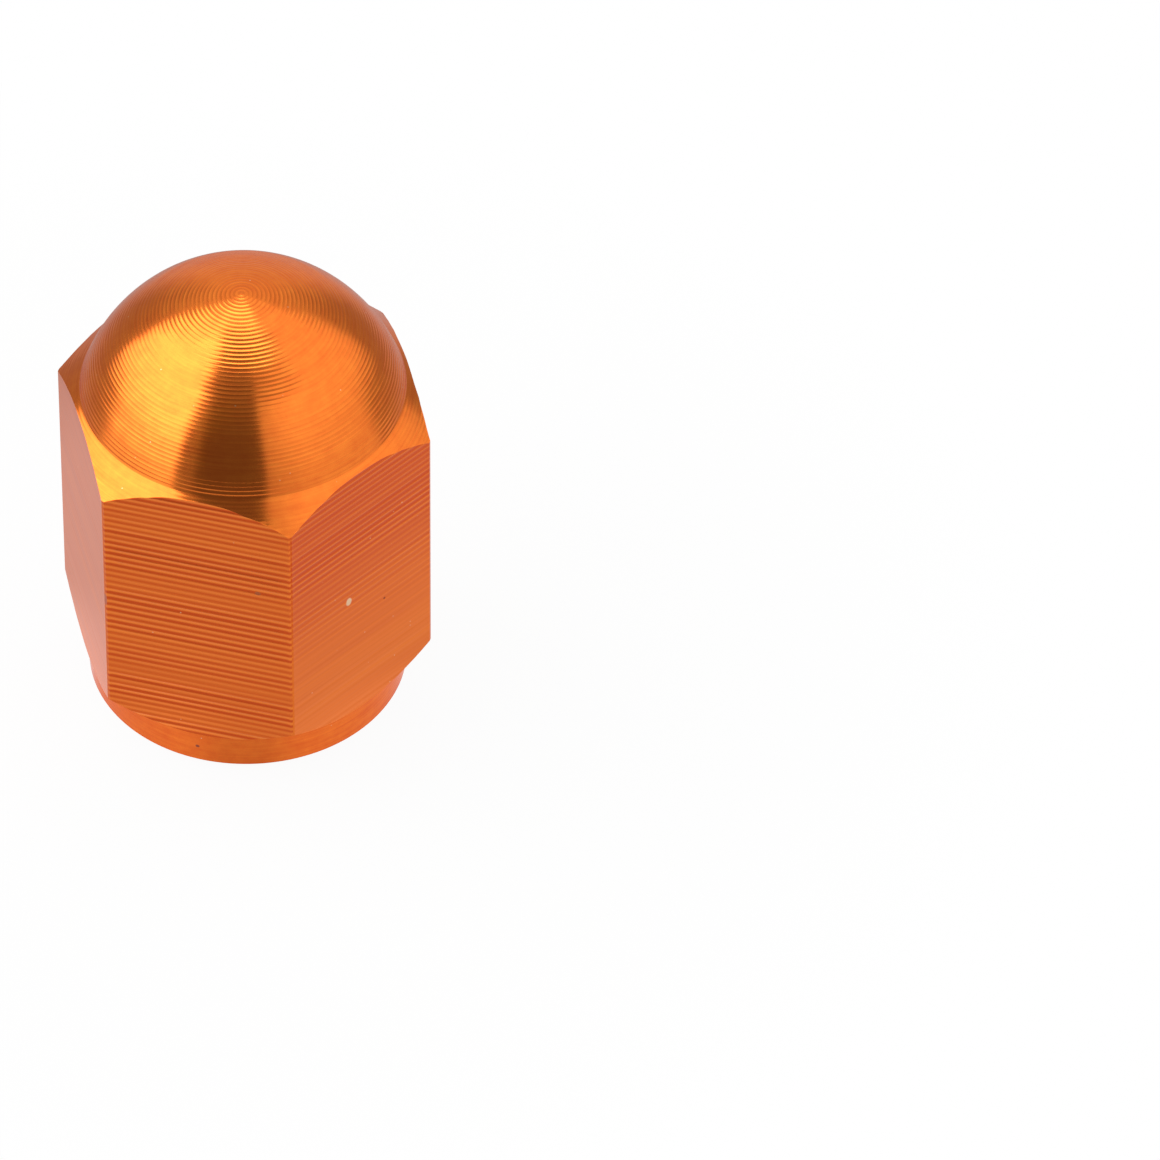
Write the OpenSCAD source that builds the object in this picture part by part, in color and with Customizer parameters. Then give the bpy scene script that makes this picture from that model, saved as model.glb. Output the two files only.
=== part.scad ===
// Tyre valve cap, turned in one piece from hexagonal aluminium bar.
// It stands on its open mouth with +Z up through the crown. Millimetres.

/* [Bar] */
// Distance between two opposite flats of the bar
across_flats = 10; // [9.8:0.1:12]
// How far each sharp corner of the bar is taken back towards the axis
corner_break = 0.03; // [0.01:0.01:0.15]
// Height from the mouth face to the crown of the dome
cap_h = 15.2; // [14.2:0.1:20]

/* [Dome] */
// Diameter of the dome where it meets the shoulder
dome_base_d = 9.7; // [9:0.05:9.8]
// Height of the dome above that circle
dome_h = 3.7; // [3:0.1:4.4]
// Slope of the dome at its crown, in degrees: near 0 is a ball end, more is pointed
crown_slope = 3.6; // [0.6:0.1:8]
// Diameter of the tiny flat that the turning tool leaves at the crown
crown_flat_d = 0.12; // [0.06:0.02:0.6]

/* [Shoulder] */
// Angle of the shoulder below the dome, in degrees from level
shoulder_angle = 45; // [30:1:60]

/* [Collar] */
// Diameter of the round collar at the mouth
collar_d = 9.64; // [9.2:0.02:9.8]
// Height of the collar, from the mouth face to the start of the hexagon
collar_h = 1.35; // [0.8:0.05:3]
// Chamfer on the outer edge of the mouth
collar_edge = 0.28; // [0.1:0.02:0.34]
// Angle of the hexagon's underside above the collar, in degrees from level
underside_angle = 45; // [30:1:60]

/* [Mouth and bore] */
// Diameter of the countersink at the mouth face
mouth_d = 8.18; // [7.8:0.02:8.4]
// Included angle of the countersink, in degrees
countersink_angle = 118; // [90:1:130]
// Diameter over the crests of the valve thread, which is the tapping drill's
bore_d = 6.95; // [6.5:0.01:7.4]
// Depth of the bore at full diameter
bore_depth = 10.5; // [8:0.1:10.6]
// Point angle of the tapping drill, in degrees
drill_angle = 118; // [112:1:140]

/* [Hidden] */
$fn = 180;

// How far a cutter or a blank runs past the face that it cuts
over = 1;

corner_r = across_flats / 2 / cos(30);
dome_r = dome_base_d / 2;
crown_r = crown_flat_d / 2;
dome_z = cap_h - dome_h;
collar_r = collar_d / 2;
mouth_r = mouth_d / 2;
bore_r = bore_d / 2;

// The two cones run out past the corners of the bar
cone_r = corner_r + over;
shoulder_z = dome_z - (cone_r - dome_r) * tan(shoulder_angle);
underside_z = collar_h + (cone_r - collar_r) * tan(underside_angle);

// Arc of the dome, from the edge of the crown's flat to the shoulder
dome_run = dome_r - crown_r;
dome_arc_r = (pow(dome_run, 2) + pow(dome_h, 2))
    / (2 * (dome_h * cos(crown_slope) - dome_run * sin(crown_slope)));
dome_arc_x = crown_r - dome_arc_r * sin(crown_slope);
dome_arc_z = cap_h - dome_arc_r * cos(crown_slope);

countersink_depth = (mouth_r - bore_r) / tan(countersink_angle / 2);
drill_point_h = bore_r / tan(drill_angle / 2);

// The bar, with its corners just broken, standing across X by its corners
module bar() {
    intersection() {
        cylinder(r = corner_r, h = cap_h + over, $fn = 6);
        cylinder(r = corner_r - corner_break, h = cap_h + over);
    }
}

// Half section of what the lathe leaves below the dome
module turned_section() {
    polygon([
        [0, 0],
        [collar_r - collar_edge, 0],
        [collar_r, collar_edge],
        [collar_r, collar_h],
        [cone_r, underside_z],
        [cone_r, shoulder_z],
        [dome_r, dome_z],
        [0, dome_z]
    ]);
}

// Half section of the dome: a slightly pointed arc that leans in at its base
module dome_section() {
    intersection() {
        translate([dome_arc_x, dome_arc_z]) circle(r = dome_arc_r);
        translate([0, dome_z]) square([dome_r + over, dome_h]);
    }
}

// Outside of the cap as one solid of revolution
module turned_form() {
    rotate_extrude() turned_section();
    rotate_extrude() dome_section();
}

// Everything that is cut from the mouth upwards
module bore() {
    rotate_extrude() polygon([
        [0, -over],
        [mouth_r + over * tan(countersink_angle / 2), -over],
        [bore_r, countersink_depth],
        [bore_r, bore_depth],
        [0, bore_depth + drill_point_h]
    ]);
}

module cap() {
    color("darkorange") difference() {
        intersection() {
            bar();
            turned_form();
        }
        bore();
    }
}

cap();
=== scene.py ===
# Tyre valve cap: hexagonal aluminium bar, turned at both ends, tapped, and dyed orange by anodising.
import math
import bpy
from mathutils import Matrix, Vector


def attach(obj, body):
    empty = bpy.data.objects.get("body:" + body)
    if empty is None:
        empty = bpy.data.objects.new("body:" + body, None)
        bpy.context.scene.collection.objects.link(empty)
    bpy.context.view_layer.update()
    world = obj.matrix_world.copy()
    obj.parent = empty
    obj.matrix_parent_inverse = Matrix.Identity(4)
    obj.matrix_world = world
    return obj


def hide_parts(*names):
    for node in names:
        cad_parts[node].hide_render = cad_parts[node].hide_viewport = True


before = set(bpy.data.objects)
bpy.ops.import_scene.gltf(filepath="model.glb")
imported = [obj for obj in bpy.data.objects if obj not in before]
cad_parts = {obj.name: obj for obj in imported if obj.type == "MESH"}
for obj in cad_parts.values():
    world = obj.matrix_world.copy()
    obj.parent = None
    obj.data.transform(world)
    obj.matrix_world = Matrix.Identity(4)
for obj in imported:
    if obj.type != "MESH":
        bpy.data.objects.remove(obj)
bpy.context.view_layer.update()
print("frame loaded")


def maths(operation, swapped=False):  # makes a method that adds one Math node
    def act(self, *others):
        values = (*others, self) if swapped else (self, *others)
        return self.net.node("ShaderNodeMath", {"operation": operation}, dict(enumerate(values)))
    return act


class Wire:  # one node socket, so that node maths reads as ordinary maths
    def __init__(self, net, socket):
        self.net, self.socket = net, socket

    __add__ = __radd__ = maths("ADD")
    __mul__ = __rmul__ = maths("MULTIPLY")
    __sub__, __rsub__ = maths("SUBTRACT"), maths("SUBTRACT", True)
    __truediv__, __rtruediv__ = maths("DIVIDE"), maths("DIVIDE", True)
    __pow__, __mod__ = maths("POWER"), maths("FLOORED_MODULO")
    __gt__, __lt__ = maths("GREATER_THAN"), maths("LESS_THAN")
    __abs__ = maths("ABSOLUTE")
    floor, fract, root = maths("FLOOR"), maths("FRACT"), maths("SQRT")
    sin, cos, tan = maths("SINE"), maths("COSINE"), maths("TANGENT")
    arcSin, arcCos, arcTan2 = maths("ARCSINE"), maths("ARCCOSINE"), maths("ARCTAN2")
    atMost, atLeast = maths("MINIMUM"), maths("MAXIMUM")

    def pick(self, name):  # another output of the same node
        return Wire(self.net, self.socket.node.outputs[name])

    def isNear(self, number):  # 1 where the value rounds to that number
        return (self > number - 0.5) * (self < number + 0.5)

    def rise(self, start, end):  # 0 below start, 1 above end, smooth between
        return self.net.node("ShaderNodeMapRange", {"interpolation_type": "SMOOTHSTEP"},
                             {"Value": self, "From Min": start, "From Max": end})


class Net:  # adds nodes to one tree
    def __init__(self, tree):
        tree.nodes.clear()
        self.tree = tree

    def node(self, kind, settings=None, values=None, output=0):
        made = self.tree.nodes.new(kind)
        for name, setting in (settings or {}).items():
            setattr(made, name, setting)
        for key, value in (values or {}).items():
            for one in value if isinstance(value, list) else [value]:
                if isinstance(one, Wire):
                    self.tree.links.new(one.socket, made.inputs[key])
                else:
                    made.inputs[key].default_value = one
        return Wire(self, made.outputs[output]) if len(made.outputs) else made


# The cap's sizes in mm and degrees
capSizes = {
    "Across flats": 10.0,
    "Corner break": 0.03,
    "Cap height": 15.2,
    "Dome base diameter": 9.7,
    "Dome height": 3.7,
    "Crown slope": 3.6,
    "Crown flat diameter": 0.12,
    "Shoulder angle": 45.0,
    "Collar diameter": 9.64,
    "Collar height": 1.35,
    "Collar edge": 0.28,
    "Underside angle": 45.0,
    "Mouth diameter": 8.18,
    "Countersink angle": 118.0,
    "Bore diameter": 6.95,
    "Bore depth": 10.5,
    "Drill angle": 118.0,
    "Thread pitch": 0.794,
    "Thread depth": 0.43,
    "Thread length": 7.1,
    "Milled groove depth": 0.015,
    "Dome ring depth": 0.0078,
    "Fine ring depth": 0.0026,
    "Seed": 3.0,
}

# How finely each face of the cap is divided: every ring or groove has four rows
capRows = {
    "drillPoint": 4,
    "plainBore": 4,
    "entry": 40,
    "mouthFace": 8,
    "mouthEdge": 2,
    "collar": 32,
    "underside": 40,
    "flats": 172,
    "shoulder": 40,
    "dome": 196,
}
flatColumns, cornerColumns = 26, 2
rowsPerRing, grooveShift = 4, 7  # the shift picks the grooves' random depths
feedSwing = 0.008  # how far the milling feed drifts, as a share of the flats' height
cornerFade = 0.965  # the milled grooves run out over the last part of the way to a corner
plainSector, smoothSector, darkReflectionSector = 5, 3, 4  # flats unlike the rest, counted round from +X: the plain and smooth flats are cut with shallower grooves, and the last only gets wider painted dark reflection lines

# How the cuts differ: shares of depth that vary from one groove or ring to the next, or that a flat lacks
cuts = {
    "grooveUneven": 1.1,
    "turnedUneven": 0.8,
    "domeUneven": 0.3,
    "plainFrom": (4.5, 9.5),  # heights over which the plain flat's grooves grow deeper
    "plainLacks": (0.75, 0.3),  # below and above those heights
    "smoothLacks": 0.8,
    "flankAngle": 30,
    "rootFlat": 1 / 16,  # in pitches, on each side of the middle of the thread's groove
    "crestSlack": 0.05,  # the thread runs out this far below the bore's wall
    "entryHeight": 0.85,  # where the thread meets the countersink's rows
}


def capTree(sizes, finishes):
    tree = bpy.data.node_groups.new("valve cap", "GeometryNodeTree")
    net = Net(tree)
    for name, size in sizes.items():
        tree.interface.new_socket(name, in_out="INPUT", socket_type="NodeSocketFloat").default_value = size
    tree.interface.new_socket("Cap", in_out="OUTPUT", socket_type="NodeSocketGeometry")
    given = net.node("NodeGroupInput")
    size = {name: given.pick(name) for name in sizes}
    degree = math.pi / 180

    # The bar and the faces that the lathe turns
    apothem, capHeight = size["Across flats"] / 2, size["Cap height"]
    cornerRadius = apothem / math.cos(30 * degree) - size["Corner break"]
    flatHalf = (apothem / cornerRadius).arcCos()  # half the angle that one flat spans
    domeRadius, crownRadius = size["Dome base diameter"] / 2, size["Crown flat diameter"] / 2
    domeBase = capHeight - size["Dome height"]
    collarRadius, collarHeight = size["Collar diameter"] / 2, size["Collar height"]
    collarEdge, mouthRadius = size["Collar edge"], size["Mouth diameter"] / 2
    boreRadius, boreDepth = size["Bore diameter"] / 2, size["Bore depth"]
    shoulderAngle, undersideAngle = size["Shoulder angle"] * degree, size["Underside angle"] * degree
    countersinkSlope = (size["Countersink angle"] * degree / 2).tan()
    pointHeight = boreRadius / (size["Drill angle"] * degree / 2).tan()
    pitch, threadDepth = size["Thread pitch"], size["Thread depth"]
    threadLength = size["Thread length"]
    seed = size["Seed"]

    # The dome is an arc that leans in at its base and leaves the crown at a slight slope
    crownSlope = size["Crown slope"] * degree
    run, rise = domeRadius - crownRadius, size["Dome height"]
    arcRadius = (run * run + rise * rise) / (2 * (rise * crownSlope.cos() - run * crownSlope.sin()))
    arcX = crownRadius - arcRadius * crownSlope.sin()
    arcZ = capHeight - arcRadius * crownSlope.cos()
    baseTurn = ((domeBase - arcZ) / arcRadius).arcCos()

    def noise(at, shift):  # one random number for each whole number
        return net.node("ShaderNodeTexWhiteNoise", {"noise_dimensions": "1D"},
                        {"W": at + seed + shift})

    def scallop(across, depth, uneven, shift):  # how far a ring is sunk, each a little differently
        part = across.fract()
        share = 1 - uneven / 2 + uneven * noise(across.floor() + 0.5, shift)
        return 4 * part * (1 - part) * depth * share

    def barRadius(facing, sunk):
        return ((apothem - sunk) / facing.cos()).atMost(cornerRadius)

    lowFlat = collarHeight + (apothem - collarRadius) * undersideAngle.tan() - 0.01
    highFlat = domeBase - (apothem - domeRadius) * shoulderAngle.tan() + 0.01

    def grooveDepth(at, height):
        share = (height - lowFlat) / (highFlat - lowFlat)
        across = (share + (share * 2 * math.pi).sin() * feedSwing) * (capRows["flats"] / rowsPerRing)
        below, over = cuts["plainLacks"]
        plainLack = below - (below - over) * height.rise(*cuts["plainFrom"])
        lighter = at["sector"].isNear(plainSector) * plainLack \
            + at["sector"].isNear(smoothSector) * cuts["smoothLacks"]
        atCorner = abs(at["facing"] / flatHalf).rise(cornerFade, 1)
        depth = size["Milled groove depth"] * (1 - lighter) * (1 - atCorner)
        return scallop(across, depth, cuts["grooveUneven"], grooveShift)

    def barEdge(at, angle, level, turnedRadius, side):  # where the milled flat meets a turned cone
        first = level - side * (barRadius(at["facing"], 0) - turnedRadius) * angle.tan()
        return barRadius(at["facing"], grooveDepth(at, first)), first

    def topEdge(at):
        return barEdge(at, shoulderAngle, domeBase, domeRadius, 1)

    def lowEdge(at):
        return barEdge(at, undersideAngle, collarHeight, collarRadius, -1)

    def threadCut(turn, height):  # radius of the tapped wall
        along = height / pitch - turn / (2 * math.pi)
        off = (along - (along + 0.5).floor()) * pitch
        runOut = (1 - (threadLength - height + off) / pitch).atLeast(0).atMost(1)
        depth = threadDepth - (threadDepth + cuts["crestSlack"]) * runOut
        flank = (abs(off) - pitch * cuts["rootFlat"]) / math.tan(cuts["flankAngle"] * degree)
        cut = depth.atMost(depth - flank)
        return boreRadius + cut.atLeast(0)

    def band(rows, finish, shape):  # one face: rows run from the bore's point round to the crown
        perSector = flatColumns + cornerColumns
        index = net.node("GeometryNodeInputIndex")
        column = ((index + 0.5) / (rows + 1)).floor()
        row = index - column * (rows + 1)
        sector = ((column + 0.5) / perSector).floor()
        step = column - sector * perSector
        share = ((step - 1) * 2 / (flatColumns - 2) - 1) * cornerFade  # the outer two columns are narrow
        facing = share.atLeast(-1).atMost(1) * flatHalf \
            + (step - flatColumns).atLeast(0) * (60 * degree - 2 * flatHalf) / cornerColumns
        turn = facing + (sector * 60 + 30) * degree
        radius, height = shape(row, {"turn": turn, "facing": facing, "sector": sector % 6})
        point = net.node("ShaderNodeCombineXYZ", {},
                         {"X": radius * turn.cos(), "Y": radius * turn.sin(), "Z": height})
        grid = net.node("GeometryNodeMeshGrid", {},
                        {"Vertices X": 6 * perSector + 1, "Vertices Y": rows + 1})
        placed = net.node("GeometryNodeSetPosition", {}, {"Geometry": grid, "Position": point})
        return net.node("GeometryNodeSetMaterial", {}, {"Geometry": placed, "Material": finish})

    rows = capRows
    fineDepth, ringDepth = size["Fine ring depth"], size["Dome ring depth"]

    def drillPoint(row, at):
        return boreRadius * row / rows["drillPoint"], boreDepth + pointHeight * (1 - row / rows["drillPoint"])

    tappedTop, entryHeight = threadLength + 0.1, cuts["entryHeight"]

    def plainBore(row, at):
        return boreRadius + row * 0, boreDepth + (tappedTop - boreDepth) * row / rows["plainBore"]

    # The rows of a turn follow the helix, two at each corner of the groove, to break it.
    # The corners lie 1/16 and 3/8 of a pitch from the groove's middle.
    rowsPerTurn, cornerGap = 8, 0.012
    turns = (tappedTop / pitch + 0.61).floor() + 1

    def tapped(row, at):
        whole = ((row + 0.5) / rowsPerTurn).floor()
        corner = ((row - whole * rowsPerTurn + 0.5) / 2).floor()
        side = (row % 2) * 2 - 1
        off = (corner - 1.5) * (0.125 + 0.125 * (abs(corner - 1.5) > 1)) + side * cornerGap
        along = turns - 1 - whole - off
        height = (pitch * (along + at["turn"] / (2 * math.pi))).atLeast(entryHeight).atMost(tappedTop)
        return threadCut(at["turn"], height), height

    def entry(row, at):
        height = entryHeight * (1 - row / rows["entry"])
        return threadCut(at["turn"], height).atLeast(mouthRadius - height * countersinkSlope), height

    def mouthFace(row, at):
        outer = collarRadius - collarEdge
        sunk = scallop(row / rowsPerRing, fineDepth, cuts["turnedUneven"], 1)
        return mouthRadius + (outer - mouthRadius) * row / rows["mouthFace"], sunk

    def mouthEdge(row, at):
        share = row / rows["mouthEdge"]
        return collarRadius - collarEdge * (1 - share), collarEdge * share

    def collar(row, at):
        height = collarEdge + (collarHeight - collarEdge) * row / rows["collar"]
        return collarRadius - scallop(row / rowsPerRing, fineDepth, cuts["turnedUneven"], 2), height

    def underside(row, at):
        edge, first = lowEdge(at)
        level = collarRadius + (cornerRadius - collarRadius) * row / rows["underside"]
        sunk = scallop(row / rowsPerRing, fineDepth, cuts["turnedUneven"], 3) * (level < edge)
        radius = level.atMost(edge)
        return radius - sunk * undersideAngle.sin(), \
            collarHeight + (radius - collarRadius) * undersideAngle.tan() + sunk * undersideAngle.cos()

    def flats(row, at):
        lowFirst, highFirst = lowEdge(at)[1], topEdge(at)[1]
        share = row / rows["flats"]
        share = share - (share * 2 * math.pi).sin() * feedSwing
        height = lowFlat + (highFlat - lowFlat) * share
        radius = barRadius(at["facing"], grooveDepth(at, height.atLeast(lowFirst).atMost(highFirst)))
        lowest = collarHeight + (radius - collarRadius) * undersideAngle.tan()
        highest = domeBase - (radius - domeRadius) * shoulderAngle.tan()
        return radius, height.atLeast(lowest).atMost(highest)

    def shoulder(row, at):
        edge, first = topEdge(at)
        level = cornerRadius + (domeRadius - cornerRadius) * row / rows["shoulder"]
        sunk = scallop(row / rowsPerRing, fineDepth, cuts["turnedUneven"], 4) * (level < edge)
        radius = level.atMost(edge)
        return radius - sunk * shoulderAngle.sin(), \
            domeBase - (radius - domeRadius) * shoulderAngle.tan() - sunk * shoulderAngle.cos()

    def dome(row, at):
        lean = baseTurn + (crownSlope - baseTurn) * row / rows["dome"]
        share = row / rows["dome"]
        pressed = 0.85 - 0.3 * share.rise(0.15, 0.24) + 0.45 * share.rise(0.46, 0.5)  # depth of the rings
        radius = arcRadius - scallop(row / rowsPerRing, ringDepth * pressed, cuts["domeUneven"], 5)
        return arcX + radius * lean.sin(), arcZ + radius * lean.cos()

    def crown(row, at):
        return crownRadius * (1 - row), capHeight + row * 0

    turned, milled, tappedFinish = finishes["turned"], finishes["milled"], finishes["tapped"]
    bands = [
        band(rows["drillPoint"], tappedFinish, drillPoint),
        band(rows["plainBore"], tappedFinish, plainBore),
        band(turns * rowsPerTurn - 1, tappedFinish, tapped),
        band(rows["entry"], tappedFinish, entry),
        band(rows["mouthFace"], turned, mouthFace),
        band(rows["mouthEdge"], turned, mouthEdge),
        band(rows["collar"], turned, collar),
        band(rows["underside"], turned, underside),
        band(rows["flats"], milled, flats),
        band(rows["shoulder"], turned, shoulder),
        band(rows["dome"], turned, dome),
        band(1, turned, crown),
    ]
    joined = net.node("GeometryNodeJoinGeometry", {}, {0: bands})
    merged = net.node("GeometryNodeMergeByDistance", {}, {"Geometry": joined, "Distance": 0.0005})
    metres = net.node("GeometryNodeTransform", {}, {"Geometry": merged, "Scale": (0.001, 0.001, 0.001)})
    smooth = net.node("GeometryNodeSetShadeSmooth", {}, {"Geometry": metres})
    real = net.node("GeometryNodeRealizeInstances", {}, {"Geometry": smooth})
    net.node("NodeGroupOutput", {}, {"Cap": real})
    return tree


# Colours are linear, lengths in mm
finishSizes = {
    "deepDye": (0.66, 0.084, 0.014),
    "thinDye": (0.97, 0.242, 0.031),
    "dust": (0.95, 0.66, 0.42),
    "turnedEdge": (0.92, 0.72, 0.68),
    "milledEdge": (0.95, 0.92, 0.92),
    "turnedRoughness": 0.15,
    "milledRoughness": 0.34,
    "tappedRoughness": 0.22,
    "lineHeight": 0.0008,
    "dustSize": (0.02, 0.05),
}

# Small marks from handling: place, half size along each axis, colour
marks = [
    {"at": (4.065, -2.959, 6.301), "size": (0.12, 0.12, 0.16), "color": (0.85, 0.55, 0.33)},
    {"at": (4.799, -1.687, 5.433), "size": (0.045, 0.045, 0.045), "color": (0.3, 0.05, 0.015)},
    {"at": (1.853, -5.0, 8.034), "size": (0.1, 0.1, 0.07), "color": (0.5, 0.12, 0.045)},
    {"at": (-2.9, -5.0, 6.5), "size": (0.08, 0.08, 0.3), "color": (0.6, 0.17, 0.1)},
    {"at": (-0.178, -4.817, 0.828), "size": (0.07, 0.07, 0.06), "color": (0.3, 0.07, 0.04)},
]


def mixed(net, share, first, second):  # a colour between two others
    first, second = (one if isinstance(one, Wire) else (*one, 1) for one in (first, second))
    return net.node("ShaderNodeMix", {"data_type": "RGBA"}, {0: share, 6: first, 7: second}, 2)


def metal(name, roughness, edge, pattern):
    finish = bpy.data.materials.new(name)
    finish.use_nodes = True
    net = Net(finish.node_tree)
    place = net.node("ShaderNodeTexCoord", output="Object")
    mm = net.node("ShaderNodeVectorMath", {"operation": "SCALE"}, {0: place, "Scale": 1000.0})
    shade, rough, bump, coat = pattern(net, mm)
    color = mixed(net, shade, finishSizes["deepDye"], finishSizes["thinDye"])
    for mark in marks:
        away = net.node("ShaderNodeVectorMath", {"operation": "SUBTRACT"}, {0: mm, 1: mark["at"]})
        scaled = net.node("ShaderNodeVectorMath", {"operation": "DIVIDE"}, {0: away, 1: mark["size"]})
        distance = net.node("ShaderNodeVectorMath", {"operation": "LENGTH"}, {0: scaled}, 1)
        color = mixed(net, 1 - distance.rise(0.7, 1.1), color, mark["color"])
    speck = net.node("ShaderNodeTexVoronoi", {}, {"Vector": mm, "Scale": 1.7})
    color = mixed(net, (1 - speck.rise(*finishSizes["dustSize"])) * 0.6, color, finishSizes["dust"])
    normal = net.node("ShaderNodeBump", {}, {"Height": bump, "Strength": 1.0, "Distance": 0.001})
    shader = net.node("ShaderNodeBsdfPrincipled", {}, {
        "Base Color": color, "Metallic": 1.0, "Roughness": (roughness + rough).atLeast(0.08),
        "Normal": normal, "Specular Tint": (*edge, 1),
        "Coat Weight": coat, "Coat Roughness": 0.15})
    net.node("ShaderNodeOutputMaterial", {}, {"Surface": shader})
    return finish


def streaks(net, mm, stretch):  # noise drawn out by a different scale on each axis
    scaled = net.node("ShaderNodeVectorMath", {"operation": "MULTIPLY"}, {0: mm, 1: stretch})
    return net.node("ShaderNodeTexNoise", {},
                    {"Vector": scaled, "Scale": 1.0, "Detail": 2.0, "Roughness": 0.6})


# How much each pattern lightens or darkens the colour, from 0, deep dye, to 1, thin dye. On the milled flats
# part of it is painted shade, painted dark reflections and painted highlights
turnedLook = {"base": 0.68, "collarDarker": 0.26, "fine": 0.4, "coarse": 0.5, "cloud": 0.3, "mottle": 0.45,
              "coat": 0.06}
# The milled flats' groove lines are painted dark reflections. The plain flat's thin light lines are painted
# highlights, and its darker top is painted shade
milledLook = {"base": 0.5, "plainLighter": 0.2, "plainFade": 0.5, "paintedDarkLines": 0.22, "darkReflectionWider": 0.2,
              "smoothNarrower": 0.18, "plainNarrower": 0.2, "ridgeHighlights": 1.2, "fine": 0.5, "broad": 0.4,
              "coat": 0.08, "smoothGlossier": 0.12, "plainDuller": 0.05}
tappedLook = {"base": 0.5, "fine": 0.5, "coat": 0.06}


# Each pattern gives the shade between deep and thin dye (on the milled flats partly painted light), the
# change of roughness, the height of the fine lines and the coat
def turnedPattern(net, mm):
    look = turnedLook
    x = net.node("ShaderNodeSeparateXYZ", {}, {0: mm})
    y, z = x.pick("Y"), x.pick("Z")
    radius = (x * x + y * y).root()
    path = z * 1.3 - radius * 0.7  # grows steadily along every turned face
    around = net.node("ShaderNodeCombineXYZ", {}, {"X": x * 0.35, "Y": y * 0.35, "Z": path * 26})
    fine = net.node("ShaderNodeTexNoise", {},
                    {"Vector": around, "Scale": 1.0, "Detail": 2.0, "Roughness": 0.65})
    broken = net.node("ShaderNodeCombineXYZ", {}, {"X": x * 0.6, "Y": y * 0.6, "Z": path * 7})
    coarse = net.node("ShaderNodeTexNoise", {},
                      {"Vector": broken, "Scale": 1.0, "Detail": 1.0, "Roughness": 0.5})
    cloud, mottle = streaks(net, mm, (0.5, 0.5, 0.5)), streaks(net, mm, (3.0, 3.0, 3.0))
    # The collar, the lowest band of the cap, is darker
    shade = look["base"] - look["collarDarker"] * (1 - z.rise(1.2, 1.5)) \
        + (fine - 0.5) * look["fine"] + (coarse - 0.5) * look["coarse"] \
        + (cloud - 0.5) * look["cloud"] + (mottle - 0.5) * look["mottle"]
    rough = (fine - 0.5) * 0.05 + (cloud - 0.5) * 0.06
    return shade, rough, (fine - 0.5) * finishSizes["lineHeight"], look["coat"]


def milledPattern(net, mm):
    look = milledLook
    x = net.node("ShaderNodeSeparateXYZ", {}, {0: mm})
    y, z = x.pick("Y"), x.pick("Z")
    low, high = 1.52, 11.36  # the flats' lowest and highest points
    share = (z - low) / (high - low)
    across = (share + (share * 2 * math.pi).sin() * feedSwing) * (capRows["flats"] / rowsPerRing)
    chance = net.node("ShaderNodeTexWhiteNoise", {"noise_dimensions": "1D"},
                      {"W": across.floor() + 0.5 + capSizes["Seed"] + grooveShift})
    depth = 1 - cuts["grooveUneven"] / 2 + cuts["grooveUneven"] * chance  # as deep as the mesh has it
    sector = (y.arcTan2(x) * (3 / math.pi)).floor() % 6
    darkReflectionFlat, plain, smooth = (sector.isNear(one) for one in (darkReflectionSector, plainSector, smoothSector))
    # The plain flat is painted lighter below and darker towards its top. The darker top is painted shade of
    # its grooves, which are cut deeper there
    up = z.rise(3.0, 9.5)
    # Painted dark reflections: the half of each groove that tilts up is darkened as far as the groove is
    # deep. They are widest on one flat and narrower on the smooth and plain flats
    width = look["paintedDarkLines"] + look["darkReflectionWider"] * darkReflectionFlat \
        - look["smoothNarrower"] * smooth - look["plainNarrower"] * plain
    paintedDarkLines = (across * 2 * math.pi).sin() * depth * width
    # Thin light lines on the plain flat's ridges, towards its top, are painted highlights
    thin = (1 - abs(across.fract() - 0.5) * 2) ** 0.25  # 0 only on the ridge between two grooves
    ridgeHighlights = (0.8 - thin) * plain * up * depth * look["ridgeHighlights"]
    fine = streaks(net, mm, (0.12, 0.12, 24.0))
    broad = streaks(net, mm, (0.1, 0.1, 3.0))
    shade = look["base"] + plain * (look["plainLighter"] - look["plainFade"] * up) - paintedDarkLines + ridgeHighlights \
        + (fine - 0.5) * look["fine"] + (broad - 0.5) * look["broad"]
    coat = look["coat"] + look["smoothGlossier"] * smooth - look["plainDuller"] * plain
    return shade, (fine - 0.5) * 0.1, (fine - 0.5) * finishSizes["lineHeight"], coat


def tappedPattern(net, mm):
    look = tappedLook
    fine = streaks(net, mm, (0.6, 0.6, 20.0))
    shade = look["base"] + (fine - 0.5) * look["fine"]
    return shade, (fine - 0.5) * 0.1, (fine - 0.5) * finishSizes["lineHeight"], look["coat"]


turnedEdge, milledEdge = finishSizes["turnedEdge"], finishSizes["milledEdge"]
finishes = {
    "turned": metal("turned orange", finishSizes["turnedRoughness"], turnedEdge, turnedPattern),
    "milled": metal("milled orange", finishSizes["milledRoughness"], milledEdge, milledPattern),
    "tapped": metal("tapped orange", finishSizes["tappedRoughness"], turnedEdge, tappedPattern),
}
print("finishes made")

tree = capTree(capSizes, finishes)
capSkin = bpy.data.objects.new("cap_skin", bpy.data.meshes.new("cap skin start"))
bpy.context.scene.collection.objects.link(capSkin)
builder = capSkin.modifiers.new("valve cap", "NODES")
builder.node_group = tree
for item in tree.interface.items_tree:
    if item.in_out == "INPUT":
        builder[item.identifier] = capSizes[item.name]
evaluated = capSkin.evaluated_get(bpy.context.evaluated_depsgraph_get())
mesh = bpy.data.meshes.new_from_object(evaluated)
mesh.name = "cap skin"
capSkin.modifiers.clear()
capSkin.data = mesh
mesh.set_sharp_from_angle(angle=math.radians(10))
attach(capSkin, "root")
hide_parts("cap")
triangles = sum(len(face.vertices) - 2 for face in mesh.polygons)
print("cap made:", len(mesh.vertices), "points,", triangles, "triangles")


# A panel's edge at an azimuth from the camera's heading. More blur widens it.
def upright(azimuth, facing, lean=0.0, blur=1.0):
    turn = math.radians(azimuth)
    return facing * math.cos(turn) / blur, -facing * math.sin(turn) / blur, lean / blur, 0.0


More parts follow.
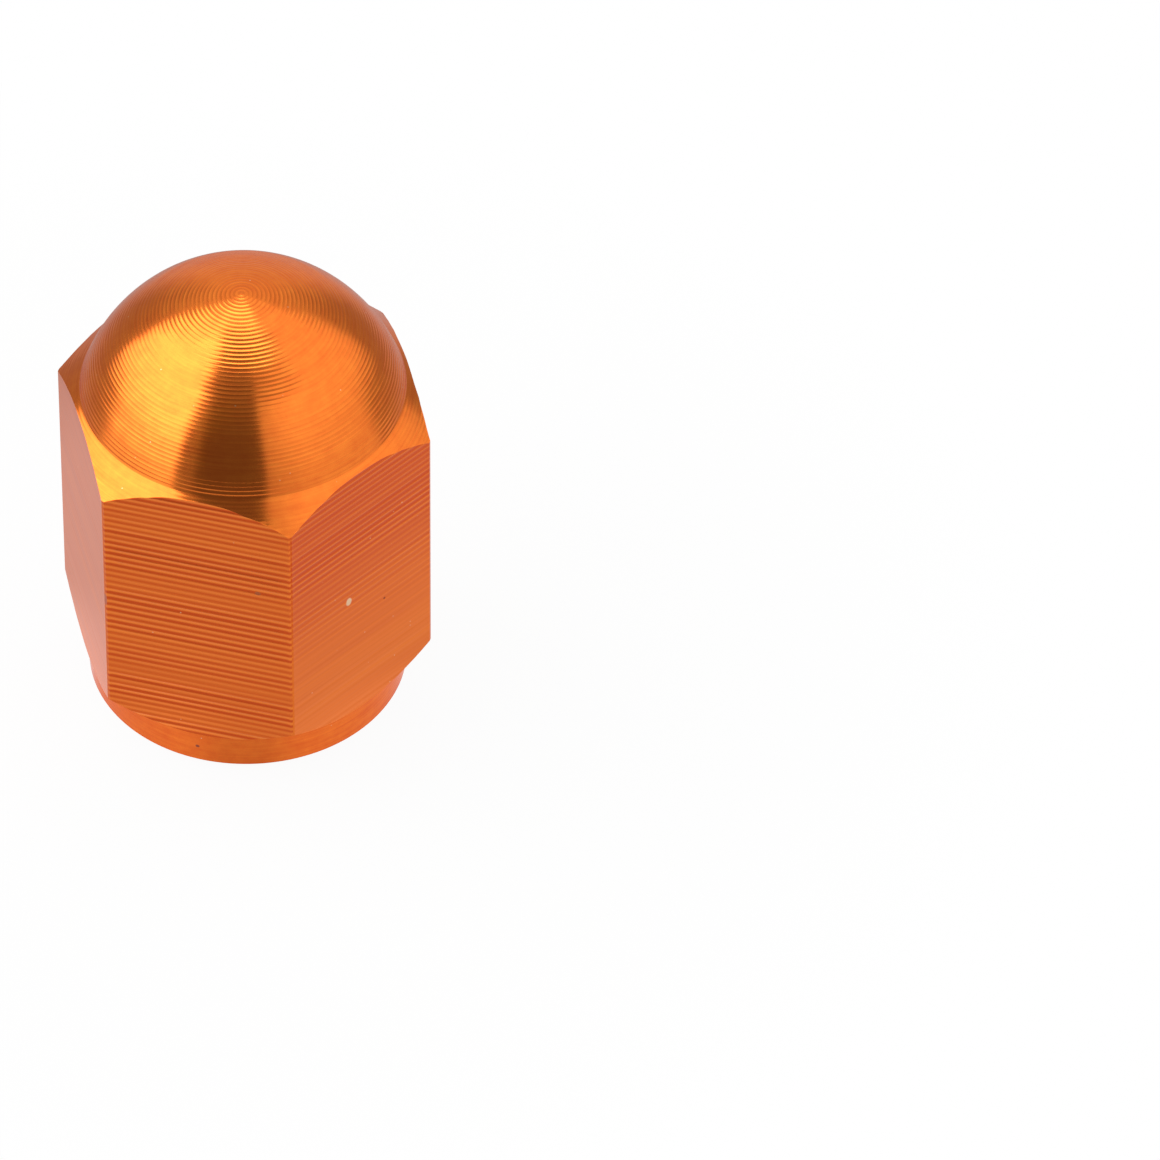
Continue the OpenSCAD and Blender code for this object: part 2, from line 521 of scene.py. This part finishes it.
# The studio: each panel lies inside its edges, planes given by their shares of side, front and
# height and an offset. Its light goes from its first to its last number over the heights between
# them, in degrees. Near is a share of its light, growing to all of it between two azimuths.
studio = {
    "room": (0.37, 0, 45, 0.7),
    "panels": {
        "gap": {
            "edges": [upright(-75, 1), upright(60, -1)],
            "soft": 0.2, "light": (0.34, 0, 30, 0.42)},
        "dark gap": {
            "edges": [upright(-30, 1), upright(18, -1)],
            "soft": 0.06, "light": (0.17, 38, 68, 0.33)},
        "left box": {
            "edges": [upright(-121, 1, 0.24), upright(-43, -1), (-1, 0, -0.36, 0)],
            "soft": 0.04, "light": (1.45, -8, 34, 3.25)},
        "right box": {
            "edges": [upright(16.5, 1), upright(127, -1, 0.2, 3), (0, 0, -1, 0.845)],
            "soft": 0.03, "light": (0.98, 4, 36, 1.28), "near": (0.66, 14, 50)},
        "low back": {
            "edges": [(0, -1, 0, -0.12), (0, 0, -1, 0.08)],
            "soft": 0.13, "light": (0.44, 0, 40, 0.42)},
        "back": {
            "edges": [upright(157, 1), upright(-157, -1)],
            "soft": 0.17, "light": (0.82, 30, 44, 0.95)},
        "ceiling": {
            "edges": [(0, -1, -0.02, 0), (0, 1, 0.8, 0), (1, 0, 0.36, 0), (-1, 0, 0.62, 0)],
            "soft": 0.05, "light": (1.33, 0, 40, 1.33)},
        "overhead": {
            "edges": [(0, -1, -0.08, 0), (0, 1, 0.42, 0), (1, 0, 0.4, 0), (-1, 0, 0.22, 0)],
            "soft": 0.03, "light": (3.8, 0, 40, 3.8)},
    },
    "floorRadius": 0.045,
    "floorRim": (0.35, 0.6),  # shares of the radius over which the floor turns white
    "floorPaint": 0.62,
    "whiteFloor": 0.95,
    "mirroredShare": 0.8,
    "mirroredFloor": (0.74, 0.0, 12.0, 0.9),  # light from left to right, between two places in mm
    "besideCollar": (0.3, 5.8, 7.5),  # extra light, which ends between two radii in mm
    "behind": (0.34, 7.0, 12.0),  # share of light missing behind the cap, between two places in mm
}
cameraPlace = {
    "azimuth": 14.52,
    "elevation": 45.09,
    "roll": 0.65,
    "distance": 0.32941,
    "aside": 0.01008,
    "above": 0.002316,
    "lens": 336.35,
}
heading = math.radians(cameraPlace["azimuth"])


def studioWorld():
    world = bpy.data.worlds.new("studio")
    world.use_nodes = True
    net = Net(world.node_tree)
    x = net.node("ShaderNodeSeparateXYZ", {}, {0: net.node("ShaderNodeTexCoord", output="Generated")})
    y, z = x.pick("Y"), x.pick("Z")
    side = x * math.cos(heading) + y * math.sin(heading)
    front = x * math.sin(heading) - y * math.cos(heading)
    around = side.arcTan2(front) * (180 / math.pi)
    above = z.arcSin() * (180 / math.pi)
    first, start, end, last = studio["room"]
    light = first + (last - first) * above.rise(start, end)
    for panel in studio["panels"].values():
        first, start, end, last = panel["light"]
        glow = first + (last - first) * above.rise(start, end)
        if "near" in panel:
            share, start, end = panel["near"]
            glow = glow * (share + (1 - share) * around.rise(start, end))
        mask = 1
        for a, b, c, d in panel["edges"]:
            mask = mask * (side * a + front * b + z * c + d).rise(-panel["soft"], panel["soft"])
        light = light + (glow - light) * mask
    seen = net.node("ShaderNodeLightPath", output="Is Camera Ray")
    light = light + (1 - light) * seen
    shader = net.node("ShaderNodeBackground", {}, {"Color": light})
    net.node("ShaderNodeOutputWorld", {}, {"Surface": shader})
    return world


def floorFinish():
    finish = bpy.data.materials.new("pale floor")
    finish.use_nodes = True
    net = Net(finish.node_tree)
    x = net.node("ShaderNodeSeparateXYZ", {}, {0: net.node("ShaderNodeTexCoord", output="Object")})
    y = x.pick("Y")
    side = (x * math.cos(heading) + y * math.sin(heading)) * 1000
    first, start, end, last = studio["mirroredFloor"]
    out = (x * x + y * y).root() * 1000
    extra, near, far = studio["besideCollar"]
    beside = (abs(side) / out).rise(0.08, 0.5) * (1 - out.rise(near, far)) * extra
    dimmer, near, far = studio["behind"]
    front = (x * math.sin(heading) - y * math.cos(heading)) * 1000
    light = first + (last - first) * side.rise(start, end)
    light = light * (1 - dimmer * (0 - front).rise(near, far)) + beside
    rim = (out / (studio["floorRadius"] * 1000)).rise(*studio["floorRim"])
    seen = net.node("ShaderNodeLightPath", output="Is Camera Ray")
    mirrored = seen.pick("Is Glossy Ray") + seen.pick("Is Transmission Ray")
    white = studio["whiteFloor"] + (1 - studio["whiteFloor"]) * rim
    paint = net.node("ShaderNodeBsdfDiffuse", {}, {"Color": (studio["floorPaint"],) * 3 + (1,)})
    glow = net.node("ShaderNodeEmission", {}, {"Color": seen + light * (1 - seen)})
    share = seen * white + mirrored * studio["mirroredShare"]
    shader = net.node("ShaderNodeMixShader", {}, {0: share, 1: paint, 2: glow})
    net.node("ShaderNodeOutputMaterial", {}, {"Surface": shader})
    return finish


scene = bpy.context.scene
scene.world = studioWorld()
scene.view_settings.view_transform = "Standard"
floorMesh = bpy.data.meshes.new("floor")
floorSides = 120
rimAngles = [2 * math.pi * step / floorSides for step in range(floorSides)]
rim = [(studio["floorRadius"] * math.cos(one), studio["floorRadius"] * math.sin(one), 0) for one in rimAngles]
floorMesh.from_pydata(rim, [], [range(floorSides)])
floorMesh.materials.append(floorFinish())
floor = bpy.data.objects.new("floor", floorMesh)
scene.collection.objects.link(floor)
print("studio made")

lift, roll = math.radians(cameraPlace["elevation"]), math.radians(cameraPlace["roll"])
back = Vector((math.sin(heading) * math.cos(lift), -math.cos(heading) * math.cos(lift), math.sin(lift)))
level = Vector((math.cos(heading), math.sin(heading), 0))
right = level * math.cos(roll) + back.cross(level) * math.sin(roll)
up = back.cross(right)
camera = bpy.data.objects.new("camera", bpy.data.cameras.new("camera"))
camera.data.sensor_width, camera.data.lens = 36, cameraPlace["lens"]
camera.data.clip_start, camera.data.clip_end = 0.01, 10
turn = Matrix((right, up, back)).transposed().to_4x4()
stand = back * cameraPlace["distance"] + right * cameraPlace["aside"] + up * cameraPlace["above"]
camera.matrix_world = Matrix.Translation(stand) @ turn
scene.collection.objects.link(camera)
scene.camera = camera
print("camera made")
